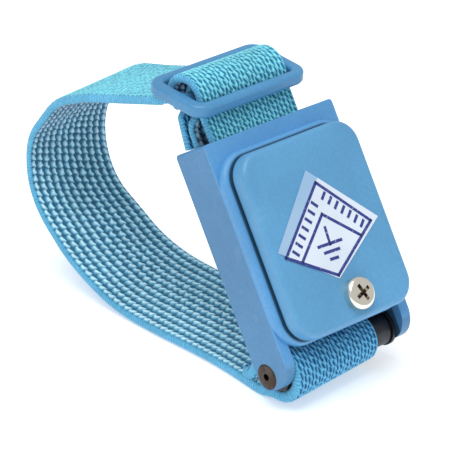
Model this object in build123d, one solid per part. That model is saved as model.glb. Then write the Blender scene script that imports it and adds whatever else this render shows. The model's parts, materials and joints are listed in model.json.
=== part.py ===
from build123d import *
import math
import os

# Cordless ESD wrist strap. Every size is in millimetres.
# The strap stands as it rests on a table: the elastic band's lower run lies flat and the
# housing leans over the loop. Everything is laid out about the near pin's axis, which runs
# along Y, and the finished part is moved so that its origin is the middle of its footprint.
# "Leaned" coordinates are the housing's own: x runs from the far end to the near end along
# the skin face, z is the cover's outward normal, and both start at the near pin's axis.

LEAN = 59.0            # housing's lean about the near pin, degrees
PIN_HEIGHT = 6.3       # near pin's axis above the table

# Housing
FIT = 0.02             # gap round a part held in a hole
BASE_WIDTH = 30.0
FAR_X = -41.0
EAR_X = 2.6
SKIN_Z = -2.5
DECK_Z = 6.0
EAR_TOP_R = 4.6
EAR_SKIN_R = 2.4
FAR_CORNER_R = 0.7      # the far end's upright corners
FAR_BAY_HALF = 12.0     # half the gap between the side walls, at each end
NEAR_BAY_HALF = 13.0
NEAR_BAY_X = -6.6
NEAR_DECK_X = -4.4
NEAR_DECK_UNDER = 4.4
FAR_BAY_X = -34.9
FAR_DECK_UNDER = 4.6
PLINTH_X = (-38.2, -3.0)
PLINTH_Z = 7.6
PLINTH_R = 5.5
TOP_EDGE_R = 1.0        # the plinth's and cover's rounded top edges
TRAY_X = (-33.4, -8.6)
TRAY_HALF = 12.2
TRAY_R = 1.5
FLOOR_Z = -1.0

# Cover
COVER_X = (-37.2, -3.5)
COVER_HALF = 13.6
COVER_TOP_Z = 11.4
COVER_R = 4.5
COVER_WALL = 1.6
ROOF_T = 1.4
GROOVE_DEPTH = 1.0     # the shadow groove round the cover's foot
GROOVE_HEIGHT = 0.6
LABEL_T = 0.12
LABEL_CORNERS = ((-31.0, -0.5), (-19.0, 11.1), (-11.6, -1.7), (-19.6, -12.4))

# Near pin, washers and roller
PIN_R = 2.3
PIN_BORE_R = 0.65
PIN_HALF = 15.2
PIN_CHAMFER = 0.25
EAR_HOLE_R = 2.31
ROLLER_BORE_R = 2.35
ROLLER_R = 3.0
ROLLER_HALF = 12.25
ROLLER_EDGE_R = 0.4
PIN_WASHER_R = 3.3
PIN_WASHER_Y = (12.35, 12.95)

# Far strap bar
FAR_BAR_X = -38.4
FAR_BAR_Z = 0.8
FAR_BAR_R = 1.2
FAR_BAR_HALF = 13.2

# Discharge screw and its fittings, under the cover's roof
SCREW_X = -8.0
SCREW_Y = 0.7
HEAD_R = 2.9
HEAD_H = 1.9
HEAD_EDGE_R = 0.8
SHANK_R = 1.45
SHANK_HOLE_GAP = 0.1         # round the shank in the cover's roof
TIP_WELL_GAP = (0.3, 0.6)    # round and under the shank's tip, in the base
SCREW_TIP_Z = 6.4
RECESS = (3.2, 0.7, 2.0)     # one arm of the head's cross recess
RECESS_TURN = 20
NUT_FLATS = 5.5
NUT_H = 1.8
LUG_R = 2.5
LUG_T = 0.4
LUG_TAIL = 8.0
LUG_TAIL_HALF = 1.1
LUG_HOLE_X = SCREW_X - LUG_TAIL + LUG_TAIL_HALF

# Resistor and contact plate
RESISTOR_X = (-24.5, -18.0)
RESISTOR_Z = 3.2
RESISTOR_R = 1.2
RESISTOR_WAIST_R = 1.05
RESISTOR_CAP = 1.6
RESISTOR_CAP_EDGE_R = 0.4
LEAD_R = 0.3
LEAD_DROP = 2.2         # from the resistor's end to the lead's turn down
LUG_LEAD_BEND = 1.2
TAB_LEAD_BEND = 1.0
PLATE_X = (-32.5, -9.5)
PLATE_HALF = 9.5
PLATE_T = 0.5
PLATE_GAP = 0.05
PLATE_R = 2.0
RIVET_X = (-29.5, -12.5)
RIVET_R = 1.0
RIVET_HEAD_R = 1.7
RIVET_HEAD_T = 0.25
RIVET_INNER_R = 1.6
RIVET_INNER_T = 0.4
TAB_T = 0.3
TAB_HALF = 2.0
TAB_X = (-32.0, -25.5)

# Elastic band
BAND_T = 1.7
BAND_Y = (-11.1, 9.3)
NEAR_LOOP_Y = (-12.3, 7.9)   # the band sits against the left ear where it goes round the roller
GAP = 0.3              # left between band pieces on different bodies
WRAP_GAP = 0.05        # between the band and what it is wrapped round
LAP_GAP = 0.02         # between two layers of the band
NEAR_LOOP_R = ROLLER_R + WRAP_GAP + BAND_T / 2
FAR_LOOP_R = FAR_BAR_R + 2 * WRAP_GAP + BAND_T / 2

# Slider
SLIDER_AT = (-25.4, 49.5)
SLIDER_PITCH = 5.0
SLIDER_L = 14.3
SLIDER_W = 26.2
SLIDER_T = 2.4
SLIDER_R = 3.0
SLIDER_BAR = 2.1       # width of the slider's near and far bars
SLIDER_RAIL = 2.3
SLIDER_WINDOW_R = 1.0
SLIDER_EDGE_R = 0.7
CENTRE_BAR_DROP = 0.8  # the centre bar lies this far below the frame's middle
SLIDER_Y = (BAND_Y[0] + BAND_Y[1]) / 2
CENTRE_BAR_R = 1.2
END_LOOP_R = CENTRE_BAR_R + WRAP_GAP + BAND_T / 2
HUMP_R = END_LOOP_R + BAND_T + LAP_GAP
NEAR_DROP = 1.4        # the hump's front goes straight down this far before it turns to the housing
NEAR_TURN_R = 1.0
FAR_FOOT = (-0.3, -0.6)      # from the hump's far side to its foot on the top run
BACK_TURN = 1.0              # the back strand turns up this far from its end
BACK_TURN_R = 1.5
HEM_TURN = (0, -1.6)         # from the end loop's far side to the hem's turn, and to its end
HEM = (2.2, -8.0)
HEM_TURN_R = 3.0
END_LOOP_Y = (-9.6, 8.2)    # the sewn end is a little narrower than the band over it

# Seam
THREAD_R = 0.2
STITCH_COUNT = 8
STITCH_PITCH = 2.3
STITCH_LENGTH = 1.7
SEAM_INSET = 1.2        # from the near loop's end to its seam


# ---------- helpers ----------

def lean_point(x, z):
    """A point given in leaned coordinates, in upright ones."""
    a = math.radians(LEAN)
    return (x * math.cos(a) + z * math.sin(a), PIN_HEIGHT - x * math.sin(a) + z * math.cos(a))


def lean(shape):
    """Put a shape drawn in leaned coordinates in its place."""
    return Location((0, 0, PIN_HEIGHT)) * Rotation(0, LEAN, 0) * shape


def block(x, y, z):
    """A box from its low and high x, y and z."""
    size = [b - a for a, b in (x, y, z)]
    middle = [(a + b) / 2 for a, b in (x, y, z)]
    return Location(middle) * Box(*size)


def rounded_slab(x, half_y, z, radius):
    """A flat slab with rounded corners in plan."""
    plan = RectangleRounded(x[1] - x[0], 2 * half_y, radius)
    placed = Location(((x[0] + x[1]) / 2, 0, z[0])) * plan
    return extrude(placed, z[1] - z[0], dir=(0, 0, 1))


def rod_y(x, z, radius, y):
    """A round bar along Y."""
    return Location((x, (y[0] + y[1]) / 2, z)) * Rotation(90, 0, 0) * Cylinder(radius, y[1] - y[0])


def post(x, y, radius, z):
    """A round bar along Z."""
    return Location((x, y, (z[0] + z[1]) / 2)) * Cylinder(radius, z[1] - z[0])


def profile(face, y):
    """A face drawn as (x, z) on the XZ plane, drawn out along Y."""
    placed = Plane((0, y[0], 0), x_dir=(1, 0, 0), z_dir=(0, -1, 0)) * face
    return extrude(placed, y[1] - y[0], dir=(0, 1, 0))


def onward(start, angle, distance):
    """The point a distance from another, at an angle in degrees above +X."""
    a = math.radians(angle)
    return (start[0] + distance * math.cos(a), start[1] + distance * math.sin(a))


def offset(point, step):
    return (point[0] + step[0], point[1] + step[1])


def ribbon(path, y=BAND_Y):
    """The band's solid along a middle line."""
    return profile(trace(path, line_width=BAND_T), y)


# ---------- housing ----------

def base_housing():
    """Tray with side walls, open bays for the band at both ends, and a plinth for the cover."""
    side = Polyline((FAR_X, SKIN_Z), (EAR_X, SKIN_Z), (EAR_X, DECK_Z), (FAR_X, DECK_Z), close=True)
    face = make_face(side)
    ends = face.vertices().sort_by(Axis.X)[-2:].sort_by(Axis.Y)
    face = fillet(ends[0], EAR_SKIN_R)
    tops = face.vertices().sort_by(Axis.Y)[-2:].sort_by(Axis.X)
    face = fillet(tops[-1], EAR_TOP_R)
    half = BASE_WIDTH / 2
    body = profile(face, (-half, half))
    body = fillet(body.edges().filter_by(Axis.Z).sort_by(Axis.X)[:2], FAR_CORNER_R)
    plinth = rounded_slab(PLINTH_X, half, (DECK_Z - 1, PLINTH_Z), PLINTH_R)
    plinth = fillet(plinth.faces().sort_by(Axis.Z)[-1].edges(), TOP_EDGE_R)
    body = body + plinth
    near = (-NEAR_BAY_HALF, NEAR_BAY_HALF)
    body -= block((NEAR_BAY_X, EAR_X + 1), near, (SKIN_Z - 1, NEAR_DECK_UNDER))
    body -= block((NEAR_DECK_X, EAR_X + 1), near, (NEAR_DECK_UNDER - 0.1, DECK_Z))
    body -= block((FAR_X - 1, FAR_BAY_X), (-FAR_BAY_HALF, FAR_BAY_HALF), (SKIN_Z - 1, FAR_DECK_UNDER))
    body -= rounded_slab(TRAY_X, TRAY_HALF, (FLOOR_Z, PLINTH_Z + 1), TRAY_R)
    body -= rounded_slab(PLATE_X, PLATE_HALF, (SKIN_Z - 1, SKIN_Z + PLATE_T), PLATE_R)
    for x in RIVET_X:
        body -= post(x, 0, RIVET_R + FIT, (SKIN_Z - 1, FLOOR_Z + 1))
    body -= post(SCREW_X, SCREW_Y, SHANK_R + TIP_WELL_GAP[0], (SCREW_TIP_Z - TIP_WELL_GAP[1], PLINTH_Z + 1))
    body -= rod_y(0, 0, EAR_HOLE_R, (-half - 1, half + 1))
    body -= rod_y(FAR_BAR_X, FAR_BAR_Z, FAR_BAR_R + FIT, (-FAR_BAR_HALF, FAR_BAR_HALF))
    return body


def top_cover():
    """Cover shell with a stepped foot, a rounded top edge and the screw's hole."""
    foot = [COVER_X[0] + GROOVE_DEPTH, COVER_X[1] - GROOVE_DEPTH]
    shell = rounded_slab(COVER_X, COVER_HALF, (PLINTH_Z + GROOVE_HEIGHT, COVER_TOP_Z), COVER_R)
    shell = fillet(shell.faces().sort_by(Axis.Z)[-1].edges(), TOP_EDGE_R)
    shell += rounded_slab(foot, COVER_HALF - GROOVE_DEPTH, (PLINTH_Z, PLINTH_Z + 1), COVER_R - GROOVE_DEPTH)
    inside = (COVER_X[0] + COVER_WALL, COVER_X[1] - COVER_WALL)
    roof = COVER_TOP_Z - ROOF_T
    shell -= rounded_slab(inside, COVER_HALF - COVER_WALL, (PLINTH_Z - 1, roof), COVER_R - COVER_WALL)
    return shell - post(SCREW_X, SCREW_Y, SHANK_R + SHANK_HOLE_GAP, (roof - 1, COVER_TOP_Z + 1))


def cover_label():
    """Thin diamond-shaped sticker on the cover."""
    plan = Location((0, 0, COVER_TOP_Z)) * make_face(Polyline(*LABEL_CORNERS, close=True))
    return extrude(plan, LABEL_T, dir=(0, 0, 1))


def discharge_screw():
    """M3 pan-head screw with a cross recess, which is the strap's discharge point."""
    head = post(SCREW_X, SCREW_Y, HEAD_R, (COVER_TOP_Z, COVER_TOP_Z + HEAD_H))
    head = fillet(head.faces().sort_by(Axis.Z)[-1].edges(), HEAD_EDGE_R)
    for turn in (0, 90):
        slot = Location((SCREW_X, SCREW_Y, COVER_TOP_Z + HEAD_H)) * Rotation(0, 0, turn + RECESS_TURN)
        head -= slot * Box(*RECESS)
    return head + post(SCREW_X, SCREW_Y, SHANK_R, (SCREW_TIP_Z, COVER_TOP_Z))


def screw_nut():
    """Thin hexagon nut that clamps the solder lug under the cover's roof."""
    top = COVER_TOP_Z - ROOF_T - LUG_T
    plan = RegularPolygon(NUT_FLATS / 2, 6, major_radius=False, rotation=30)
    nut = extrude(Location((SCREW_X, SCREW_Y, top - NUT_H)) * plan, NUT_H, dir=(0, 0, 1))
    return nut - post(SCREW_X, SCREW_Y, SHANK_R, (top - NUT_H - 1, top + 1))


def solder_lug():
    """Ring terminal with a flat tail that takes the resistor's lead."""
    z = (COVER_TOP_Z - ROOF_T - LUG_T, COVER_TOP_Z - ROOF_T)
    ring = post(SCREW_X, SCREW_Y, LUG_R, z)
    ring += block((SCREW_X - LUG_TAIL, SCREW_X), (SCREW_Y - LUG_TAIL_HALF, SCREW_Y + LUG_TAIL_HALF), z)
    ring -= post(SCREW_X, SCREW_Y, SHANK_R, (z[0] - 1, z[1] + 1))
    return ring - post(LUG_HOLE_X, SCREW_Y, LEAD_R, (z[0] - 1, z[1] + 1))


def resistor_body():
    """Axial 1 megohm resistor with dumbbell ends."""
    middle = (RESISTOR_X[0] + RESISTOR_X[1]) / 2
    length = RESISTOR_X[1] - RESISTOR_X[0]
    place = Location((middle, SCREW_Y, RESISTOR_Z)) * Rotation(0, 90, 0)
    body = place * Cylinder(RESISTOR_WAIST_R, length)
    for end in (-1, 1):
        cap_x = middle + end * (length - RESISTOR_CAP) / 2
        cap = Location((cap_x, SCREW_Y, RESISTOR_Z)) * Rotation(0, 90, 0) * Cylinder(RESISTOR_R, RESISTOR_CAP)
        body += fillet(cap.edges().filter_by(GeomType.CIRCLE), RESISTOR_CAP_EDGE_R)
    return body


def wire(points, bend):
    """Bare wire through (x, z) points in the resistor's plane."""
    path = FilletPolyline(*[(x, SCREW_Y, z) for x, z in points], radius=bend)
    section = Plane(path @ 0, z_dir=path % 0) * Circle(LEAD_R)
    return sweep(section, path=path)


def resistor_leads():
    """The two leads: up to the solder lug, and down to the contact tab."""
    lug_top = COVER_TOP_Z - ROOF_T
    up = wire(((RESISTOR_X[1], RESISTOR_Z), (LUG_HOLE_X, RESISTOR_Z), (LUG_HOLE_X, lug_top)), LUG_LEAD_BEND)
    tab_x = RESISTOR_X[0] - LEAD_DROP
    down = wire(((RESISTOR_X[0], RESISTOR_Z), (tab_x, RESISTOR_Z), (tab_x, FLOOR_Z + TAB_T)), TAB_LEAD_BEND)
    return Compound([up, down])


def contact_tab():
    """Flat strip under the rivet's inner head, soldered to the resistor's lead."""
    z = (FLOOR_Z, FLOOR_Z + TAB_T)
    strip = block(TAB_X, (-TAB_HALF, TAB_HALF), z)
    return strip - post(RIVET_X[0], 0, RIVET_R, (z[0] - 1, z[1] + 1))


def contact_plate():
    """Stainless plate, flush in the skin face, that touches the wrist."""
    plan = (PLATE_X[0] + PLATE_GAP, PLATE_X[1] - PLATE_GAP)
    plate = rounded_slab(plan, PLATE_HALF - PLATE_GAP, (SKIN_Z, SKIN_Z + PLATE_T), PLATE_R - PLATE_GAP)
    for x in RIVET_X:
        plate -= post(x, 0, RIVET_R, (SKIN_Z - 1, SKIN_Z + 1))
        plate -= post(x, 0, RIVET_HEAD_R, (SKIN_Z - 1, SKIN_Z + RIVET_HEAD_T))
    return plate


def plate_rivets():
    """Two rivets, flush in the contact plate, that hold it to the tray's floor."""
    seats = (FLOOR_Z + TAB_T, FLOOR_Z)
    rivets = []
    for x, seat in zip(RIVET_X, seats):
        head = post(x, 0, RIVET_HEAD_R, (SKIN_Z, SKIN_Z + RIVET_HEAD_T))
        inner = post(x, 0, RIVET_INNER_R, (seat, seat + RIVET_INNER_T))
        rivets.append(head + post(x, 0, RIVET_R, (SKIN_Z, seat)) + inner)
    return Compound(rivets)


def near_pin():
    """Hollow steel pin, riveted flush in both ears."""
    pin = rod_y(0, 0, PIN_R, (-PIN_HALF, PIN_HALF))
    pin = chamfer(pin.edges().filter_by(GeomType.CIRCLE), PIN_CHAMFER)
    return pin - rod_y(0, 0, PIN_BORE_R, (-PIN_HALF - 1, PIN_HALF + 1))


def pin_washers():
    """A thin washer at each end of the roller."""
    rings = []
    for side in (-1, 1):
        y = sorted(side * v for v in PIN_WASHER_Y)
        ring = rod_y(0, 0, PIN_WASHER_R, y)
        rings.append(ring - rod_y(0, 0, PIN_R, (y[0] - 1, y[1] + 1)))
    return Compound(rings)


def strap_roller():
    """Black sleeve that turns on the near pin inside the band's near loop."""
    sleeve = rod_y(0, 0, ROLLER_R, (-ROLLER_HALF, ROLLER_HALF))
    sleeve = fillet(sleeve.edges().filter_by(GeomType.CIRCLE), ROLLER_EDGE_R)
    return sleeve - rod_y(0, 0, ROLLER_BORE_R, (-ROLLER_HALF - 1, ROLLER_HALF + 1))


def far_strap_bar():
    """Steel bar across the housing's far end, inside the band's far loop."""
    return rod_y(FAR_BAR_X, FAR_BAR_Z, FAR_BAR_R, (-FAR_BAR_HALF + FIT, FAR_BAR_HALF - FIT))


# ---------- elastic band ----------

TABLE_LINE = BAND_T / 2                     # the band's middle line where it lies on the table
TAIL_LINE = TABLE_LINE + BAND_T + LAP_GAP   # the sewn-back tail lies on the band
NEAR_SPLIT_X = -9.4                         # where the near loop's solid meets the wrist run's
FAR_BEND = ((-51.8, TABLE_LINE), (-69.4, 15.6), (-69.4, 28.3), (-60.8, 37.85))
FAR_BEND_R = (41.0, 15.4, 13.8, 13.0)        # the band's bends at those corners
TOP_SPLIT = (-47.0, 41.95)                  # where the wrist run's solid meets the top run's
TOP_END = (-30.0, 46.97)
LEAVE_ANGLE = 150                           # where the sewn tail leaves the roller, degrees
TAIL_BEND_R = 1.0
LOOP_RISE = ((-5.5, TABLE_LINE), (-2.5, PIN_HEIGHT - NEAR_LOOP_R))
LOOP_RISE_R = 5.0


def strap_near_loop():
    """The band's end, looped round the roller and sewn back on itself."""
    centre = (0, PIN_HEIGHT)
    bottom = PIN_HEIGHT - NEAR_LOOP_R
    leave = onward(centre, LEAVE_ANGLE, NEAR_LOOP_R)
    foot_x = leave[0] - (leave[1] - TAIL_LINE) * math.tan(math.radians(180 - LEAVE_ANGLE))
    arriving = FilletPolyline((NEAR_SPLIT_X, TABLE_LINE), *LOOP_RISE, (0, bottom), radius=LOOP_RISE_R)
    round_roller = CenterArc(centre, NEAR_LOOP_R, -90, 90 + LEAVE_ANGLE)
    leaving = FilletPolyline(leave, (foot_x, TAIL_LINE), (NEAR_SPLIT_X, TAIL_LINE), radius=TAIL_BEND_R)
    return ribbon([arriving, round_roller, leaving], NEAR_LOOP_Y)


def strap_wrist_run():
    """The band along the table and round the wrist's far side."""
    return ribbon(FilletPolyline((NEAR_SPLIT_X, TABLE_LINE), *FAR_BEND, TOP_SPLIT, radius=FAR_BEND_R))


def strap_top_run():
    """The band from the wrist's far side to the underside of the slider."""
    return ribbon(Line(TOP_SPLIT, TOP_END))


def slider_place():
    """The slider's own frame: x across its bars, z its normal."""
    return Location((SLIDER_AT[0], SLIDER_Y, SLIDER_AT[1])) * Rotation(0, SLIDER_PITCH, 0)


def slider_buckle():
    """Three-bar slider: a rounded frame with a round bar across its middle."""
    frame = extrude(RectangleRounded(SLIDER_L, SLIDER_W, SLIDER_R), SLIDER_T / 2, both=True)
    window = RectangleRounded(SLIDER_L - 2 * SLIDER_BAR, SLIDER_W - 2 * SLIDER_RAIL, SLIDER_WINDOW_R)
    frame -= extrude(window, SLIDER_T, both=True)
    frame = fillet(frame.faces().filter_by(Axis.Z).edges(), SLIDER_EDGE_R)
    bar_half = (SLIDER_W - SLIDER_RAIL) / 2
    return slider_place() * (frame + rod_y(0, -CENTRE_BAR_DROP, CENTRE_BAR_R, (-bar_half, bar_half)))


def bar_point(x, z):
    """A point a distance from the slider's centre bar, along and above the slider, upright."""
    a = math.radians(SLIDER_PITCH)
    z -= CENTRE_BAR_DROP
    return offset(SLIDER_AT, (x * math.cos(a) + z * math.sin(a), z * math.cos(a) - x * math.sin(a)))


FRONT_Z = FAR_BAR_Z + FAR_LOOP_R            # the front strand's line where it leaves the housing
BACK_Z = FAR_BAR_Z - FAR_LOOP_R
SPLIT_X = -42.6                             # leaned x where the two strands are divided


def strap_far_loop():
    """The band round the far bar, cut level just outside the housing's far end."""
    round_bar = CenterArc((FAR_BAR_X, FAR_BAR_Z), FAR_LOOP_R, -90, 180)
    front = Line((FAR_BAR_X, FRONT_Z), (SPLIT_X, FRONT_Z))
    back = Line((SPLIT_X, BACK_Z), (FAR_BAR_X, BACK_Z))
    return lean(ribbon([back, round_bar, front]))


def strap_slider_hump():
    """The band from the housing, under the near bar and over the slider's centre bar."""
    centre = bar_point(0, 0)
    near = (centre[0] + HUMP_R, centre[1])
    far = (centre[0] - HUMP_R, centre[1])
    turn = (near[0], near[1] - NEAR_DROP)
    rising = FilletPolyline(lean_point(SPLIT_X - GAP, FRONT_Z), turn, near, radius=NEAR_TURN_R)
    over = CenterArc(centre, HUMP_R, 0, 180)
    foot = Line(far, offset(far, FAR_FOOT))
    return ribbon([rising, over, foot])


def strap_end_loop():
    """The band's other end, up from the housing and over the slider's centre bar to its hem."""
    centre = bar_point(0, 0)
    left = (centre[0] - END_LOOP_R, centre[1])
    right = (centre[0] + END_LOOP_R, centre[1])
    turn = lean_point(SPLIT_X - GAP - BACK_TURN, BACK_Z)
    rising = FilletPolyline(lean_point(SPLIT_X - GAP, BACK_Z), turn, right, radius=BACK_TURN_R)
    over = CenterArc(centre, END_LOOP_R, 0, 180)
    hem = FilletPolyline(left, offset(left, HEM_TURN), offset(left, HEM), radius=HEM_TURN_R)
    return ribbon([rising, over, hem], END_LOOP_Y)


def seam(x, z):
    """A row of thread bars across the band, lying along Y."""
    first = (sum(NEAR_LOOP_Y) - (STITCH_COUNT - 1) * STITCH_PITCH) / 2
    middles = [first + k * STITCH_PITCH for k in range(STITCH_COUNT)]
    return [rod_y(x, z, THREAD_R, (y - STITCH_LENGTH / 2, y + STITCH_LENGTH / 2)) for y in middles]


def near_seam_stitches():
    """The row of thread that closes the near loop."""
    return Compound(seam(NEAR_SPLIT_X + SEAM_INSET, TAIL_LINE + BAND_T / 2 + THREAD_R))


# ---------- the whole part ----------

HOUSING = {
    "base_housing": base_housing,
    "top_cover": top_cover,
    "cover_label": cover_label,
    "discharge_screw": discharge_screw,
    "screw_nut": screw_nut,
    "solder_lug": solder_lug,
    "resistor_body": resistor_body,
    "resistor_leads": resistor_leads,
    "contact_tab": contact_tab,
    "contact_plate": contact_plate,
    "plate_rivets": plate_rivets,
    "near_pin": near_pin,
    "pin_washers": pin_washers,
    "strap_roller": strap_roller,
    "far_strap_bar": far_strap_bar,
}

STRAP = {
    "strap_near_loop": strap_near_loop,
    "near_seam_stitches": near_seam_stitches,
    "strap_wrist_run": strap_wrist_run,
    "strap_top_run": strap_top_run,
    "slider_buckle": slider_buckle,
    "strap_far_loop": strap_far_loop,
    "strap_slider_hump": strap_slider_hump,
    "strap_end_loop": strap_end_loop,
}

nodes = {name: lean(make()) for name, make in HOUSING.items()}
nodes.update({name: make() for name, make in STRAP.items()})

bounds = Compound([solid for node in nodes.values() for solid in node.solids()]).bounding_box()
shift = Vector(-bounds.center().X, -bounds.center().Y, -bounds.min.Z)
print("origin shift, mm:", [round(v, 4) for v in shift], "size", [round(v, 3) for v in bounds.size])

os.makedirs("parts", exist_ok=True)
for name, node in nodes.items():
    moved = Location(shift) * node
    export_step(moved, f"parts/{name}.step")
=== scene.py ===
import json
import math

import bpy
import numpy as np
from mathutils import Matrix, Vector


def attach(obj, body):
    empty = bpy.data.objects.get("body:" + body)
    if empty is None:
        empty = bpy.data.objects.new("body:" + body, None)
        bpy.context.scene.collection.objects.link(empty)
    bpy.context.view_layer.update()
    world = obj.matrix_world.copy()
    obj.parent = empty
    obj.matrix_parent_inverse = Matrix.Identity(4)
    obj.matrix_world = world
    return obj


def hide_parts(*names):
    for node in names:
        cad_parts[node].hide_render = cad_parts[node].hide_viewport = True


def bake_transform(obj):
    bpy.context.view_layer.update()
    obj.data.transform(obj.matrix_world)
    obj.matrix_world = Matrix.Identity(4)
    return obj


# Cordless ESD wrist strap. The housing, slider, roller and metal parts are the CAD nodes with their
# own materials. The elastic band is knitted here, piece by piece, along the band's own line, and so
# are the thread of its seam and the print on the label.
# Sizes are in millimetres in the band's plane: x along the part and z up, measured from the point on
# the table under the near pin, and y across the band. to_row() turns them into the row frame's metres.
# The housing leans, and leaned() turns its own x and z, measured from the near pin, into the plane's.

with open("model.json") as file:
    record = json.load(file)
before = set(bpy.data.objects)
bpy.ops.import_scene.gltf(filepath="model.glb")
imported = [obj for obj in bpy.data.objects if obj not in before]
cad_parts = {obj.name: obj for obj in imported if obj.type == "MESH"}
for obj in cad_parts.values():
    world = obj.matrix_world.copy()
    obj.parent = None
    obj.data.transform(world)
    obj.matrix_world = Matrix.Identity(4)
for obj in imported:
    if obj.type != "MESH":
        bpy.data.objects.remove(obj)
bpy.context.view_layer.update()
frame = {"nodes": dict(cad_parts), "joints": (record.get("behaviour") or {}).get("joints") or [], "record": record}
nodes = frame["nodes"]
MM = 0.001


# ---------- where the CAD puts things ----------

def named(rows, name):
    return next(row for row in rows if row["name"] == name)


PIN = Vector(named(frame["joints"], "roller_spin")["pos_m"])
SKIN_AXIS = named(frame["record"]["mounts"], "skin_plate_face")["axis"]
LEAN = math.atan2(-SKIN_AXIS[0], -SKIN_AXIS[2])
PIN_HEIGHT = PIN.z / MM


def to_row(x, y, z):
    """A point in millimetres, as metres in the row frame."""
    return Vector((PIN.x + x * MM, y * MM, z * MM))


def leaned(x, z):
    """A point in the housing's own x and z, as x and z in the band's plane."""
    return (x * math.cos(LEAN) + z * math.sin(LEAN), PIN_HEIGHT - x * math.sin(LEAN) + z * math.cos(LEAN))


def link_mesh(name, verts, faces, material=None):
    """A new object in the scene from points in metres and faces."""
    mesh = bpy.data.meshes.new(name)
    mesh.from_pydata(verts, [], faces)
    if material:
        mesh.materials.append(material)
    piece = bpy.data.objects.new(name, mesh)
    bpy.context.scene.collection.objects.link(piece)
    return piece


# ---------- camera, floor and light ----------

CAMERA_AT = (0.40783, -0.37011, 0.28467)
CAMERA_AZIMUTH = math.radians(47.489)
CAMERA_ELEVATION = math.radians(25.734)
CAMERA_LENS = 272.58
KEY_AT = (0.12, -0.22, 0.85)
KEY_AIM = (0.0, 0.0, 0.02)
KEY_SIZE = 0.7
KEY_WATTS = 5.0
SKY_STRENGTH = 0.62
FLOOR_HALF = 3.0
FLOOR_Z = -0.0002            # just under the band, so that the two never flicker


def add_camera():
    data = bpy.data.cameras.new("camera")
    data.lens = CAMERA_LENS
    data.sensor_width = 36.0
    data.clip_start = 0.01
    data.clip_end = 20.0
    camera = bpy.data.objects.new("camera", data)
    camera.location = CAMERA_AT
    camera.rotation_euler = (math.pi / 2 - CAMERA_ELEVATION, 0, CAMERA_AZIMUTH)
    bpy.context.scene.collection.objects.link(camera)
    bpy.context.scene.camera = camera


def add_key_light():
    data = bpy.data.lights.new("key", "AREA")
    data.shape = "DISK"
    data.size = KEY_SIZE
    data.energy = KEY_WATTS
    light = bpy.data.objects.new("key", data)
    light.location = KEY_AT
    light.rotation_euler = (Vector(KEY_AIM) - Vector(KEY_AT)).to_track_quat("-Z", "Y").to_euler()
    bpy.context.scene.collection.objects.link(light)


def add_floor():
    corners = [(x * FLOOR_HALF, y * FLOOR_HALF, FLOOR_Z) for x, y in ((-1, -1), (1, -1), (1, 1), (-1, 1))]
    paint = bpy.data.materials.new("floor_white")
    paint.use_nodes = True
    shader = paint.node_tree.nodes["Principled BSDF"]
    shader.inputs["Base Color"].default_value = (0.85, 0.86, 0.87, 1)
    shader.inputs["Emission Color"].default_value = (0.97, 0.99, 1.0, 1)
    shader.inputs["Emission Strength"].default_value = 0.45
    shader.inputs["Roughness"].default_value = 0.9
    shader.inputs["Specular IOR Level"].default_value = 0.1
    link_mesh("floor", corners, [(0, 1, 2, 3)], paint)


def add_sky():
    world = bpy.data.worlds.new("studio")
    world.use_nodes = True
    sky = world.node_tree.nodes["Background"]
    sky.inputs["Color"].default_value = (0.96, 0.98, 1.0, 1)
    sky.inputs["Strength"].default_value = SKY_STRENGTH
    bpy.context.scene.world = world
    bpy.context.scene.view_settings.view_transform = "Standard"


# ---------- node helpers ----------

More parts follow.
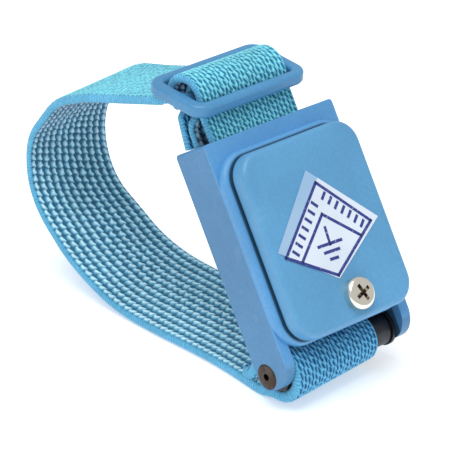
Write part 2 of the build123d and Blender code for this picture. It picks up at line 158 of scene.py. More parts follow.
class Tree:
    """Short calls for a material's nodes. A value is a number or another node's output."""

    def __init__(self, name):
        self.material = bpy.data.materials.new(name)
        self.material.use_nodes = True
        self.nodes = self.material.node_tree.nodes
        self.links = self.material.node_tree.links
        self.shader = self.nodes["Principled BSDF"]

    def put(self, socket, value):
        if isinstance(value, bpy.types.NodeSocket):
            self.links.new(value, socket)
        elif isinstance(value, (tuple, list)) and len(value) == 3 and socket.type == "RGBA":
            socket.default_value = (*value, 1)
        else:
            socket.default_value = value

    def math(self, operation, *values):
        node = self.nodes.new("ShaderNodeMath")
        node.operation = operation
        for socket, value in zip(node.inputs, values):
            self.put(socket, value)
        return node.outputs[0]

    def mix(self, share, a, b, blend="MIX"):
        node = self.nodes.new("ShaderNodeMix")
        node.data_type = "RGBA"
        node.blend_type = blend
        self.put(node.inputs[0], share)
        self.put(node.inputs[6], a)
        self.put(node.inputs[7], b)
        return node.outputs[2]

    def shade(self, colour, value):
        """A colour made lighter or darker by a value."""
        grey = self.nodes.new("ShaderNodeCombineColor")
        for socket in grey.inputs:
            self.links.new(value, socket)
        return self.mix(1.0, colour, grey.outputs[0], "MULTIPLY")

    def between(self, value, low, high, out_low=0.0, out_high=1.0):
        """A smooth step: out_low where value is low, out_high where it is high."""
        node = self.nodes.new("ShaderNodeMapRange")
        node.interpolation_type = "SMOOTHSTEP"
        for socket, number in zip(node.inputs, (value, low, high, out_low, out_high)):
            self.put(socket, number)
        return node.outputs[0]

    def attribute(self, name):
        node = self.nodes.new("ShaderNodeAttribute")
        node.attribute_name = name
        return node.outputs["Fac"]

    def place(self, stretch=(1, 1, 1)):
        """The point on the object at rest, in metres, stretched along each axis."""
        where = self.nodes.new("ShaderNodeTexCoord").outputs["Object"]
        if stretch == (1, 1, 1):
            return where
        node = self.nodes.new("ShaderNodeMapping")
        node.inputs["Scale"].default_value = stretch
        self.links.new(where, node.inputs["Vector"])
        return node.outputs[0]

    def noise(self, scale, detail=2.0, stretch=(1, 1, 1), rough=0.5):
        node = self.nodes.new("ShaderNodeTexNoise")
        node.inputs["Scale"].default_value = scale
        node.inputs["Detail"].default_value = detail
        node.inputs["Roughness"].default_value = rough
        self.links.new(self.place(stretch), node.inputs["Vector"])
        return node.outputs["Fac"]

    def leaned(self):
        """The point in the housing's own x, y and z, in millimetres from the near pin."""
        where = self.nodes.new("ShaderNodeSeparateXYZ")
        self.links.new(self.place(), where.inputs[0])
        x, y, z = where.outputs
        x = self.math("SUBTRACT", x, PIN.x)
        z = self.math("SUBTRACT", z, PIN.z)
        sine, cosine = math.sin(LEAN) / MM, math.cos(LEAN) / MM
        along = self.math("SUBTRACT", self.math("MULTIPLY", x, cosine), self.math("MULTIPLY", z, sine))
        above = self.math("ADD", self.math("MULTIPLY", x, sine), self.math("MULTIPLY", z, cosine))
        return along, self.math("DIVIDE", y, MM), above

    def bump(self, height, distance, strength=1.0):
        node = self.nodes.new("ShaderNodeBump")
        node.inputs["Strength"].default_value = strength
        node.inputs["Distance"].default_value = distance
        self.put(node.inputs["Height"], height)
        return node.outputs[0]

    def finish(self, **values):
        for name, value in values.items():
            self.put(self.shader.inputs[name.replace("_", " ")], value)
        return self.material


# ---------- the knit's pattern ----------

# Millimetres in the band's own u across it, from its middle line, and v along it, from its sewn tail.

BAND_WIDTH = 20.4
BAND_MIDDLE_Y = -0.9
BAND_T = 1.7
SELVEDGE = 0.40                 # width of the plain strip at each edge
SELVEDGE_FADE = 0.12
SLOT_PITCH = (0.90, 1.15)       # the outer face's slots: their spacing across and along the band
SLOT_HALF = (0.26, 0.62)        # half their size across and along
SLOT_SLANT = 0.30               # how far they lean, across per along
SLOT_STAGGER = 0.5              # how far along each column is set from the one before, in cells
SLOT_DEPTH = 0.28
LOOP_PITCH = (1.69, 1.45)       # the inner face's loops
LOOP_HALF = (0.42, 0.84)
LOOP_SLANT = -0.34
LOOP_BOW = 0.50                 # how much they curve
LOOP_STAGGER = 0.5
LOOP_DEPTH = 0.40
RIB_PITCH = 0.55                # the selvedge's ribs
RIB_DEPTH = 0.06


def cells(u, v, pitch, half, slant, stagger, bow=0.0):
    """How far a point is from the middle of its cell, 1 at the cell's edge. Each column of cells is
    set a little further along than the one before, and each cell leans and may be bowed."""
    column = np.floor(u / pitch[0])
    fu = (u / pitch[0] - column - 0.5) * pitch[0]
    shifted = v / pitch[1] + stagger * column
    fv = (shifted - np.floor(shifted) - 0.5) * pitch[1]
    return ((fu - fv * (slant + bow * fv)) / half[0]) ** 2 + (fv / half[1]) ** 2


def smooth(value, low, high):
    t = np.clip((value - low) / (high - low), 0, 1)
    return t * t * (3 - 2 * t)


def slots(u, v):
    return cells(u, v, SLOT_PITCH, SLOT_HALF, SLOT_SLANT, SLOT_STAGGER)


def loops(u, v):
    return cells(u, v, LOOP_PITCH, LOOP_HALF, LOOP_SLANT, LOOP_STAGGER, LOOP_BOW)


def rib_depth(v):
    return RIB_DEPTH * (0.5 + 0.5 * np.cos(2 * math.pi * v / RIB_PITCH))


def relief(u, v, outer):
    """The knit's height below the band's flat face, in millimetres, as a negative number."""
    if outer:
        knit = -SLOT_DEPTH * (1 - smooth(slots(u, v), 0.2, 1.9))
    else:
        knit = -LOOP_DEPTH * smooth(loops(u, v), 0.1, 1.9)
    bounds = BAND_WIDTH / 2 - SELVEDGE
    edge = smooth(np.abs(u), bounds - SELVEDGE_FADE, bounds + SELVEDGE_FADE)
    return knit * (1 - edge) - rib_depth(v) * edge


def cell_nodes(t, u, v, pitch, half, slant, stagger, bow=0.0):
    """cells() again, as nodes."""
    across = t.math("DIVIDE", u, pitch[0])
    column = t.math("FLOOR", across)
    fu = t.math("MULTIPLY", t.math("SUBTRACT", t.math("SUBTRACT", across, column), 0.5), pitch[0])
    along = t.math("ADD", t.math("DIVIDE", v, pitch[1]), t.math("MULTIPLY", column, stagger))
    fv = t.math("MULTIPLY", t.math("SUBTRACT", t.math("FLOORED_MODULO", along, 1.0), 0.5), pitch[1])
    lean = t.math("ADD", t.math("MULTIPLY", fv, bow), slant)
    lean = t.math("SUBTRACT", fu, t.math("MULTIPLY", fv, lean))
    a = t.math("POWER", t.math("ABSOLUTE", t.math("DIVIDE", lean, half[0])), 2.0)
    b = t.math("POWER", t.math("ABSOLUTE", t.math("DIVIDE", fv, half[1])), 2.0)
    return t.math("ADD", a, b)


# ---------- materials ----------

CORD = ((0.125, 0.47, 0.74), (0.220, 0.73, 0.84))       # the outer face's yarn, low on the strap and high, the high one painted lighter where light from above falls
GROOVE = ((0.007, 0.100, 0.26), (0.015, 0.19, 0.36))    # down in its slots, low and high, the high one painted lighter
STITCH = (0.54, 0.85, 0.98)                             # the inner face's loops
STITCH_FOOT = (0.125, 0.39, 0.57)
BETWEEN = (0.032, 0.145, 0.25)
INNER_LIGHT_AND_SHADE = ((1.15, 1.15, 1.12), (0.64, 0.50, 0.54))   # painted light over the inner face low down, and painted shade over it high up
RIB_LIGHT = (0.12, 0.47, 0.74)                          # the selvedges
RIB_DARK = tuple(0.72 * c for c in RIB_LIGHT)
HOUSING_BLUE = (0.078, 0.255, 0.490)
COVER_BLUE = (0.104, 0.330, 0.580)
SLIDER_BLUE = (0.070, 0.265, 0.500)
# painted shade: the dark colour that grooves, bays and the cover's foot are darkened towards
PAINTED_SHADE_COLOUR = (0.008, 0.030, 0.065)


def elastic():
    """Knitted elastic: staggered slots outside, ropes of leaning loops inside, ribbed selvedges."""
    t = Tree("knitted_elastic")
    u, v, outer, high, gape = (t.attribute(name) for name in ("across", "along", "outer", "high", "gape"))
    fuzz = t.noise(1600, 3.0)
    wobble = t.math("MULTIPLY", t.math("SUBTRACT", fuzz, 0.5), 1.1)
    slot = cell_nodes(t, u, v, SLOT_PITCH, SLOT_HALF, SLOT_SLANT, SLOT_STAGGER)
    slot = t.math("DIVIDE", t.math("ADD", slot, wobble), gape)
    loop = cell_nodes(t, u, v, LOOP_PITCH, LOOP_HALF, LOOP_SLANT, LOOP_STAGGER, LOOP_BOW)
    loop = t.math("ADD", loop, wobble)
    # The high colours are painted light on the outer face and painted shade over the inner face.
    outside = t.mix(t.between(slot, 0.3, 1.8), t.mix(high, *GROOVE), t.mix(high, *CORD))
    inside = t.mix(t.between(loop, 0.1, 1.2), STITCH, STITCH_FOOT)
    inside = t.mix(t.between(loop, 1.0, 2.6), inside, BETWEEN)
    inside = t.mix(1.0, inside, t.mix(high, *INNER_LIGHT_AND_SHADE), "MULTIPLY")
    knit = t.mix(t.between(outer, 0.4, 0.6), inside, outside)
    rib = t.math("SINE", t.math("MULTIPLY", v, 2 * math.pi / RIB_PITCH))
    strip = t.mix(t.between(rib, -1.0, 0.6), RIB_DARK, RIB_LIGHT)
    bounds = BAND_WIDTH / 2 - SELVEDGE
    edge = t.between(t.math("ABSOLUTE", u), bounds - SELVEDGE_FADE, bounds + SELVEDGE_FADE)
    colour = t.mix(edge, knit, strip)
    worn = t.between(t.noise(90, 3.0), 0.3, 0.7, 0.90, 1.06)
    yarn = t.between(fuzz, 0.2, 0.8, 0.84, 1.14)
    colour = t.shade(colour, t.math("MULTIPLY", worn, yarn))
    fibres = t.bump(t.noise(5200, 2.0), 0.00005, 0.6)
    return t.finish(Base_Color=colour, Roughness=0.82, Normal=fibres, Sheen_Weight=0.25,
                    Sheen_Roughness=0.45, Specular_IOR_Level=0.25)


# Places on the housing, in its own x, y and z.
GROOVE_TOP_Z = 8.6         # how far up the cover the painted shade in its groove reaches
COVER_X = (-37.2, -3.5)    # the cover's outline
COVER_HALF = 13.6
COVER_R = 4.5
PLINTH_TOP_Z = 7.6         # of the base, where it meets the cover
SHADE_WIDTH = 0.50          # how far the painted shade lies past the cover's outline
DECK_Z = 6.0               # the top of the base's flat border
BAY_X = -6.6               # the near bay, between the ears, starts here
BAY_HALF = 13.0
BAY_TOP_Z = 4.4


# Painted shade: mixes the body towards the dark colour by the share given.
def paint_shade(t, share, body):
    return t.mix(t.math("MULTIPLY", share, 0.85), body, PAINTED_SHADE_COLOUR)


def cover_groove_shade(t):
    """1 in the groove round the cover's foot, which painted shade darkens."""
    return t.between(t.leaned()[2], GROOVE_TOP_Z - 0.45, GROOVE_TOP_Z, 1.0, 0.0)


def bay_shade(t, x, y, z):
    """1 on the ears' inner faces, which painted shade darkens."""
    along = t.between(x, BAY_X, BAY_X + 0.5)
    inside = t.between(y, BAY_HALF + 0.04, BAY_HALF + 0.08, 1.0, 0.0)
    below = t.between(z, BAY_TOP_Z - 0.5, BAY_TOP_Z - 0.1, 1.0, 0.0)
    return t.math("MULTIPLY", t.math("MULTIPLY", along, inside), below)


def foot_shade(t, x, y, z):
    """1 along the cover's foot, for painted shade: close outside its rounded outline, on top of the plinth."""
    middle, half = sum(COVER_X) / 2, (COVER_X[1] - COVER_X[0]) / 2
    past_x = t.math("SUBTRACT", t.math("ABSOLUTE", t.math("SUBTRACT", x, middle)), half - COVER_R)
    past_x = t.math("MAXIMUM", past_x, 0.0)
    past_y = t.math("MAXIMUM", t.math("SUBTRACT", y, COVER_HALF - COVER_R), 0.0)
    square = t.math("ADD", t.math("MULTIPLY", past_x, past_x), t.math("MULTIPLY", past_y, past_y))
    away = t.math("SUBTRACT", t.math("SQRT", square), COVER_R)
    near = t.between(away, 0.08, SHADE_WIDTH, 1.0, 0.0)
    return t.math("MULTIPLY", near, t.between(z, PLINTH_TOP_Z - 0.25, PLINTH_TOP_Z - 0.10))


# Painted shade on the base: on the ears' inner faces and round the cover's foot.
def base_shade(t):
    x, y, z = t.leaned()
    y = t.math("ABSOLUTE", y)
    return t.math("MAXIMUM", bay_shade(t, x, y, z), foot_shade(t, x, y, z))


def deck_painted_light(t):
    """Painted light and shade: the base is darker below its deck, and paler on and above it, where the light
    falls.
    """
    return t.between(t.leaned()[2], DECK_Z - 0.5, DECK_Z - 0.05, 0.90, 1.28)


def plastic(name, colour, gloss=0.42, shade_share=None, painted_light=None):
    """Moulded plastic with a fine spark-eroded grain, faint flow mottling and light scuffs. The last two
    arguments each take the tree and give a share of painted shade and a brightness of painted light."""
    t = Tree(name)
    mottle = t.between(t.noise(55, 4.0), 0.3, 0.7)
    dark = tuple(0.90 * c for c in colour)
    light = tuple(min(1.0, 1.05 * c) for c in colour)
    body = t.mix(mottle, dark, light)
    scratch = t.between(t.noise(420, 2.0, (1.0, 0.06, 0.5)), 0.66, 0.74)
    pale = tuple(min(1.0, 0.75 * c + 0.22) for c in colour)
    body = t.mix(t.math("MULTIPLY", scratch, 0.12), body, pale)
    speck = t.between(t.noise(1900, 2.0), 0.3, 0.7, 0.0, 0.16)
    body = t.mix(speck, body, tuple(0.55 * c for c in colour))
    # painted light: a brightness given by where on the part the light falls
    if painted_light:
        body = t.shade(body, painted_light(t))
    # painted shade, full where the share given is 1
    if shade_share:
        body = paint_shade(t, shade_share(t), body)
    rough = t.between(t.noise(900, 2.0), 0.25, 0.75, gloss - 0.06, gloss + 0.08)
    skin = t.bump(t.noise(3400, 2.0), 0.00002, 0.7)
    return t.finish(Base_Color=body, Roughness=rough, Normal=skin, Specular_IOR_Level=0.45)


def metal(name, colour, tarnish, rough, brush=(1, 1, 1), amount=0.3):
    """Metal with brush marks and patches of tarnish."""
    t = Tree(name)
    marks = t.noise(1500, 3.0, brush)
    patch = t.between(t.noise(260, 4.0), 0.42, 0.62, 0.0, amount)
    body = t.mix(patch, colour, tarnish)
    body = t.mix(t.between(marks, 0.3, 0.7, 0.0, 0.25), body, tuple(0.6 * c for c in colour))
    gloss = t.between(marks, 0.2, 0.8, rough - 0.06, rough + 0.10)
    skin = t.bump(marks, 0.00002, 0.5)
    return t.finish(Base_Color=body, Metallic=1.0, Roughness=gloss, Normal=skin)


def label_film():
    """White printed film, a little uneven where it lies on the grained plastic. Past the frame's left
    side it has no white backing, so the cover shows through."""
    t = Tree("label_film")
    body = t.mix(t.between(t.noise(120, 3.0), 0.3, 0.7), (0.60, 0.68, 0.78), (0.70, 0.77, 0.86))
    x, y, _ = t.leaned()
    a, b = Vector(FRAME[0]), Vector(FRAME[3])
    side = (b - a).normalized().orthogonal()
    past = t.math("ADD", t.math("MULTIPLY", x, side.x), t.math("MULTIPLY", y, side.y))
    past = t.math("SUBTRACT", past, side.dot(a))
    clear = t.between(past, -0.15, 0.15, 1.0, 0.0)
    body = t.mix(t.math("MULTIPLY", clear, 0.62), body, COVER_BLUE)
    ripple = t.bump(t.noise(500, 2.0), 0.00003, 0.5)
    return t.finish(Base_Color=body, Roughness=t.between(t.noise(700), 0.3, 0.7, 0.28, 0.40), Normal=ripple)


def ink(name, colour):
    """Screen-printed ink with pinholes."""
    t = Tree(name)
    holes = t.between(t.noise(2600, 2.0), 0.60, 0.72)
    body = t.mix(t.math("MULTIPLY", holes, 0.5), colour, (0.55, 0.62, 0.75))
    return t.finish(Base_Color=body, Roughness=0.45)


def thread():
    """Twisted sewing thread."""
    t = Tree("sewing_thread")
    ply = t.between(t.noise(3000, 2.0, (1.0, 0.35, 1.0)), 0.35, 0.65)
    body = t.mix(ply, (0.10, 0.38, 0.60), (0.20, 0.60, 0.82))
    return t.finish(Base_Color=body, Roughness=0.7, Sheen_Weight=0.3, Normal=t.bump(ply, 0.00004, 0.8))


SCREW_AT = (-8.0, 0.7)       # the discharge screw's middle, in the housing's own x and y
HEAD_TOP_Z = 13.3            # the top of its head, in the housing's own z
RECESS_R = 1.75


def screw_nickel():
    """Bright nickel, with painted shade down in the cross recess."""
    t = Tree("nickel_screw")
    marks = t.noise(1500, 3.0)
    patch = t.between(t.noise(420, 4.0), 0.5, 0.66, 0.0, 0.35)
    body = t.mix(patch, (0.88, 0.83, 0.72), (0.50, 0.36, 0.20))
    deep = t.between(t.leaned()[2], HEAD_TOP_Z - 0.75, HEAD_TOP_Z - 0.35, 1.0, 0.0)
    x, z = leaned(SCREW_AT[0], HEAD_TOP_Z)
    away = t.nodes.new("ShaderNodeVectorMath")
    away.operation = "DISTANCE"
    t.links.new(t.place(), away.inputs[0])
    away.inputs[1].default_value = to_row(x, SCREW_AT[1], z)
    inner = t.between(away.outputs["Value"], (RECESS_R - 0.1) * MM, RECESS_R * MM, 1.0, 0.0)
    # painted shade, dark down in the recess
    recess_shade = t.math("MULTIPLY", t.math("MULTIPLY", deep, inner), 0.9)
    body = t.mix(recess_shade, body, (0.05, 0.03, 0.02))
    gloss = t.between(marks, 0.2, 0.8, 0.12, 0.24)
    return t.finish(Base_Color=body, Metallic=1.0, Roughness=gloss, Normal=t.bump(marks, 0.00002, 0.4))


def dress_cad():
    blue = plastic("housing_plastic", HOUSING_BLUE, shade_share=base_shade, painted_light=deck_painted_light)
    cover = plastic("cover_plastic", COVER_BLUE, gloss=0.38, shade_share=cover_groove_shade)
    slider = plastic("slider_plastic", SLIDER_BLUE, gloss=0.36)
    black = plastic("black_plastic", (0.010, 0.014, 0.020), gloss=0.40)
    steel = metal("brushed_steel", (0.62, 0.63, 0.64), (0.35, 0.33, 0.30), 0.30, (1.0, 0.05, 1.0))
    tin = metal("tinned_metal", (0.66, 0.66, 0.64), (0.42, 0.40, 0.36), 0.34)
    finishes = {
        "base_housing": blue,
        "top_cover": cover,
        "cover_label": label_film(),
        "discharge_screw": screw_nickel(),
        "screw_nut": metal("brass_nut", (0.72, 0.52, 0.24), (0.35, 0.22, 0.09), 0.32),
        "solder_lug": tin,
        "resistor_body": plastic("resistor_lacquer", (0.56, 0.40, 0.22), gloss=0.3),
        "resistor_leads": tin,
        "contact_tab": tin,
        "contact_plate": steel,
        "plate_rivets": steel,
        "near_pin": metal("dark_pin_steel", (0.10, 0.085, 0.075), (0.055, 0.028, 0.014), 0.42, amount=0.8),
        "pin_washers": black,
        "strap_roller": black,
        "far_strap_bar": steel,
        "slider_buckle": slider,
    }
    for name, material in finishes.items():
        mesh = nodes[name].data
        mesh.materials.clear()
        mesh.materials.append(material)


# ---------- paths in the band's plane ----------

FINE = 0.05              # spacing of the points that a path is drawn with


def line(a, b):
    count = max(2, int(math.dist(a, b) / FINE))
    return [(a[0] + (b[0] - a[0]) * k / count, a[1] + (b[1] - a[1]) * k / count) for k in range(count + 1)]


def arc(centre, radius, start, turn):
    """Points round a centre, from a start angle through a turn, in degrees, anticlockwise if positive."""
    count = max(3, int(abs(math.radians(turn)) * radius / FINE))
    angles = [math.radians(start + turn * k / count) for k in range(count + 1)]
    return [(centre[0] + radius * math.cos(a), centre[1] + radius * math.sin(a)) for a in angles]


def rounded(points, radii):
    """Straight runs through the points, with a tangent arc of its own radius at each corner."""
    out = [points[0]]
    for before, corner, after, radius in zip(points, points[1:], points[2:], radii):
        heading_in = math.atan2(corner[1] - before[1], corner[0] - before[0])
        heading_out = math.atan2(after[1] - corner[1], after[0] - corner[0])
        turn = (heading_out - heading_in + math.pi) % (2 * math.pi) - math.pi
        side = math.copysign(1, turn)
        back = radius * math.tan(abs(turn) / 2)
        first = (corner[0] - back * math.cos(heading_in), corner[1] - back * math.sin(heading_in))
        centre = (first[0] - side * radius * math.sin(heading_in),
                  first[1] + side * radius * math.cos(heading_in))
        out += arc(centre, radius, math.degrees(heading_in) - side * 90, math.degrees(turn))
    return out + [points[-1]]


def length_of(points):
    return sum(math.dist(a, b) for a, b in zip(points, points[1:]))


def even(points, count):
    """The path again as count + 1 evenly spaced points."""
    p = np.array(points, float)
    s = np.concatenate([[0], np.cumsum(np.hypot(*(p[1:] - p[:-1]).T))])
    at = np.linspace(0, s[-1], count + 1)
    return np.stack([np.interp(at, s, p[:, 0]), np.interp(at, s, p[:, 1])], 1)


def onward(start, angle, distance):
    a = math.radians(angle)
    return (start[0] + distance * math.cos(a), start[1] + distance * math.sin(a))


# ---------- the band's line, in the order that it is threaded ----------
# A pair of values is for the band's left and right edges, which are the -Y and +Y ones, because the
# band lies a little twisted: its right edge is off the table from the roller to the far bend.

LEFT_Y, RIGHT_Y = BAND_MIDDLE_Y - BAND_WIDTH / 2, BAND_MIDDLE_Y + BAND_WIDTH / 2
WRAP_Y = (-12.6, 7.7)              # where the band goes round the roller
WRAP_R = (4.55, 3.75)              # its line's radius there
WRAP_T = (2.3, 1.15)               # and its thickness
RUN_LINE = ((0.87, 0.87), (2.6, 4.25))     # each edge's height near the roller and at the far bend
TAIL_X = -9.4                      # the sewn tail's end
TAIL_GAP = 0.02                    # between the tail and the run that it is sewn to
TAIL_TURN_R = 1.0
LEAVE_ANGLE = 150                  # where on the roller the tail leaves it, in degrees
LIFT_X = (-1.6, -4.8)              # the run goes from under the roller to its own height between these
LIFT_SHARE = 0.1                   # of the roller's height that is left at the second
LIFT_R = (5.0, 8.0)
SETTLE_X = (-1.0, -22.0)           # between these the band's width and thickness settle
TOP_SPLIT = (-47.0, 41.95)         # where the wrist run meets the top run
TOP_START = (-52.5, 40.325)        # in line with the top run
FAR_BEND = (((-50.6, RUN_LINE[0][1]), (-68.6, 15.4), (-68.6, 26.9), (-60.4, 37.0), TOP_START),
            ((-51.5, RUN_LINE[1][1]), (-70.8, 14.5), (-70.8, 28.4), (-61.5, 38.1), TOP_START))
FAR_BEND_R = ((37.0, 14.8, 11.6, 13.0, 20.0), (34.0, 12.8, 13.2, 14.0, 20.0))
SLIDER_AT = (-25.4, 49.5)
SLIDER_PITCH = math.radians(5.0)
CENTRE_BAR_DROP = 0.8
BAR_AT = (SLIDER_AT[0] - CENTRE_BAR_DROP * math.sin(SLIDER_PITCH),
          SLIDER_AT[1] - CENTRE_BAR_DROP * math.cos(SLIDER_PITCH))
END_LOOP_R = 2.1
END_BAR_Y = (-8.2, 8.2)            # the end loop is gathered to this where it goes over the bar
HUMP_R = 3.82                      # the top run's line over the slider's centre bar
HUMP_FOOT = 0.6                    # below the bar, where the run turns up to it
HUMP_FOOT_R = 0.7
TOP_DIP = (-31.6, 46.5)            # the top run bends here, under the slider
TOP_DIP_R = 9.0
FRONT_DROP = 1.0                   # the front strand goes straight down this far from the hump
FRONT_TURN_R = (0.8, 3.0)
FRONT_LEVEL = 2.0                  # and ends with this much in line with the far loop
BACK_TURN = 1.3
BACK_TURN_R = 1.5
HEM_TURN = (0.0, -1.6)             # the hem's bend and end, from where it leaves the bar
HEM = (2.9, -9.2)
HEM_TURN_R = 3.0
FAR_BAR = (-38.4, 0.8)             # in the housing's own x and z
FAR_LOOP_R = 2.15
SPLIT_X = -42.75                   # the housing's own x where the strands change from piece to piece


def wrist_line(side):
    """One edge, 0 or 1, from the sewn tail round the roller, along the table and round the wrist's far
    side. It comes as two stretches, so that both edges keep step."""
    centre = (0, PIN_HEIGHT)
    radius = WRAP_R[side]
    near = RUN_LINE[side][0]
    tail = near + BAND_T + TAIL_GAP
    leave = onward(centre, LEAVE_ANGLE, radius)
    foot = (leave[0] - (leave[1] - tail) * math.tan(math.radians(180 - LEAVE_ANGLE)), tail)
    loop = rounded([(TAIL_X, tail), foot, leave], (TAIL_TURN_R,))
    loop += arc(centre, radius, LEAVE_ANGLE, -90 - LEAVE_ANGLE)
    bottom = (0, PIN_HEIGHT - radius)
    lift = ((LIFT_X[0], bottom[1]), (LIFT_X[1], near + (bottom[1] - near) * LIFT_SHARE))
    run = rounded([bottom, *lift, *FAR_BEND[side], TOP_SPLIT], (*LIFT_R, *FAR_BEND_R[side]))
    return loop, run


def top_line():
    """From the wrist's far side to the slider's underside, up and over its centre bar to the top."""
    foot = (BAR_AT[0] - HUMP_R, BAR_AT[1] - HUMP_FOOT)
    run = rounded([TOP_SPLIT, TOP_DIP, foot, (foot[0], BAR_AT[1])], (TOP_DIP_R, HUMP_FOOT_R))
    return run + arc(BAR_AT, HUMP_R, 180, -90)


def front_line():
    """From the hump's top down to the middle of the front strand."""
    near = (BAR_AT[0] + HUMP_R, BAR_AT[1])
    level = leaned(SPLIT_X - FRONT_LEVEL, FAR_BAR[1] + FAR_LOOP_R)
    end = leaned(SPLIT_X, FAR_BAR[1] + FAR_LOOP_R)
    strand = rounded([near, (near[0], near[1] - FRONT_DROP), level, end], FRONT_TURN_R)
    return arc(BAR_AT, HUMP_R, 90, -90) + strand


def far_line():
    """Round the housing's far bar, from the front strand's middle to the back strand's."""
    front = leaned(SPLIT_X, FAR_BAR[1] + FAR_LOOP_R)
    back = leaned(SPLIT_X, FAR_BAR[1] - FAR_LOOP_R)
    round_bar = arc(leaned(*FAR_BAR), FAR_LOOP_R, 90 - math.degrees(LEAN), -180)
    return line(front, round_bar[0]) + round_bar + line(round_bar[-1], back)


def end_line():
    """From the back strand's middle up and over the slider's centre bar to the hem that hangs behind."""
    start = leaned(SPLIT_X, FAR_BAR[1] - FAR_LOOP_R)
    turn = leaned(SPLIT_X - BACK_TURN, FAR_BAR[1] - FAR_LOOP_R)
    left = Vector((BAR_AT[0] - END_LOOP_R, BAR_AT[1]))
    right = (BAR_AT[0] + END_LOOP_R, BAR_AT[1])
    rise = rounded([start, turn, right], (BACK_TURN_R,))
    hem = rounded([tuple(left), tuple(left + Vector(HEM_TURN)), tuple(left + Vector(HEM))], (HEM_TURN_R,))
    return rise + arc(BAR_AT, END_LOOP_R, 0, 180) + hem


# ---------- knitting a piece ----------

STEP = 0.19              # spacing of the knit's rows of points along the band
ACROSS_STEP = 0.155      # and of the points in each row
EDGE_POINTS = 5          # round each of the band's two edges
EDGE_ROUND = 0.28        # how far the rounding reaches in, in band thicknesses
CUT_END = 0.8            # the knit is pressed flat this far from its cut ends
EDGE_SWAY = 0.07         # how far the band's edges wander, as knitted edges do
SWAY_WAVE = (3.1, 7.7)   # over two lengths, which beat
SWAY_SKEW = 0.15         # and not alike at its two edges
DRIFT_ACROSS = ((0.11, 2.1, 1.7, 0.0), (0.07, -1.3, 4.3, 1.0))    # waves: size, rates in u and v, phase
DRIFT_ALONG = ((0.13, 2.9, 0.6, 0.0), (0.09, 5.1, -1.9, 0.0))
PAINTED_LIGHT_Z = (10.0, 46.0)    # between these heights the band goes from its low colours to its high ones: painted light on the outer face, painted shade on the inner face
END_PAINTED_LIGHT = 0.15          # the sewn end goes only this far towards the high ones, so that its inner face's painted shade stays light
TOP_GAPE = 1.10          # how large the slots' dark middles are along the top of the strap, 1 elsewhere
GAPE_Z = (15.0, 41.0)    # the wrist run goes from 1 to that between these heights
GAPE_X = (-32.0, -29.0)  # and the top run goes back to 1 between these
GATHER = (-4.0, -1.0)    # the sewn end is gathered in between these heights, from the bar


class Edges:
    """The band's left and right edge lines as rows of points, with each row's y and thickness, the
    size of its slots' dark middles and the depth of its knit, and the piece's share of the high, painted-light
    colours."""

    def __init__(self, stretches):
        counts = [max(4, round(sum(length_of(edge) for edge in pair) / 2 / STEP)) for pair in stretches]
        self.lines = []
        for side in (0, 1):
            rows = [even(pair[side], count) for pair, count in zip(stretches, counts)]
            rows[1:] = [row[1:] for row in rows[1:]]
            self.lines.append(np.concatenate(rows))
        self.length = sum(length_of(edge) for pair in stretches for edge in pair) / 2
        self.y = [np.full(len(self.lines[0]), value) for value in (LEFT_Y, RIGHT_Y)]
        self.thick = [np.full(len(self.lines[0]), BAND_T) for _ in (0, 1)]
        self.gape = np.ones(len(self.lines[0]))
        self.depth = np.ones(len(self.lines[0]))
        self.light_share = 1.0

    def normals(self, side):
        heading = np.gradient(self.lines[side], axis=0)
        heading /= np.hypot(*heading.T)[:, None]
        return np.stack([-heading[:, 1], heading[:, 0]], 1)


def wrist_edges():
    left, right = wrist_line(0), wrist_line(1)
    edges = Edges(list(zip(left, right)))
    middle_x = (edges.lines[0][:, 0] + edges.lines[1][:, 0]) / 2
    settled = smooth(-middle_x, -SETTLE_X[0], -SETTLE_X[1])
    for side, y in enumerate((LEFT_Y, RIGHT_Y)):
        edges.y[side] = WRAP_Y[side] * (1 - settled) + y * settled
        edges.thick[side] = WRAP_T[side] * (1 - settled) + BAND_T * settled
    edges.gape = 1 - (1 - TOP_GAPE) * smooth(edges.lines[0][:, 1], *GAPE_Z)
    edges.depth = smooth(np.arange(len(middle_x)) * STEP, 0, CUT_END)
    return edges


def plain_edges(path):
    return Edges([(path, path)])


def top_edges():
    edges = plain_edges(top_line())
    edges.gape = TOP_GAPE + (1 - TOP_GAPE) * smooth(edges.lines[0][:, 0], *GAPE_X)
    return edges


def end_edges():
    """The sewn end is gathered in where it goes over the bar, so the hump covers it."""
    edges = plain_edges(end_line())
    gathered = smooth(edges.lines[0][:, 1] - BAR_AT[1], *GATHER)
    for side, y in enumerate(END_BAR_Y):
        edges.y[side] = edges.y[side] * (1 - gathered) + y * gathered
    edges.depth = smooth(np.arange(len(gathered))[::-1] * STEP, 0, CUT_END)
    edges.light_share = END_PAINTED_LIGHT
    return edges


def section():
    """One row's points round the band: across, height of 1 or less, and how far it is the outer face."""
    half = BAND_WIDTH / 2
    flat = half - BAND_T * EDGE_ROUND
    face_u = np.linspace(-flat, flat, int(2 * flat / ACROSS_STEP) + 1)
    turn = np.linspace(math.pi / 2, -math.pi / 2, EDGE_POINTS + 2)[1:-1]
    edge_u = flat + (half - flat) * np.cos(turn)
    level = np.ones(len(face_u))
    u = np.concatenate([face_u, edge_u, face_u[::-1], -edge_u[::-1]])
    height = np.concatenate([level, np.sin(turn), -level, np.sin(turn)[::-1]])
    return u, height, 0.5 + 0.5 * height, len(face_u)


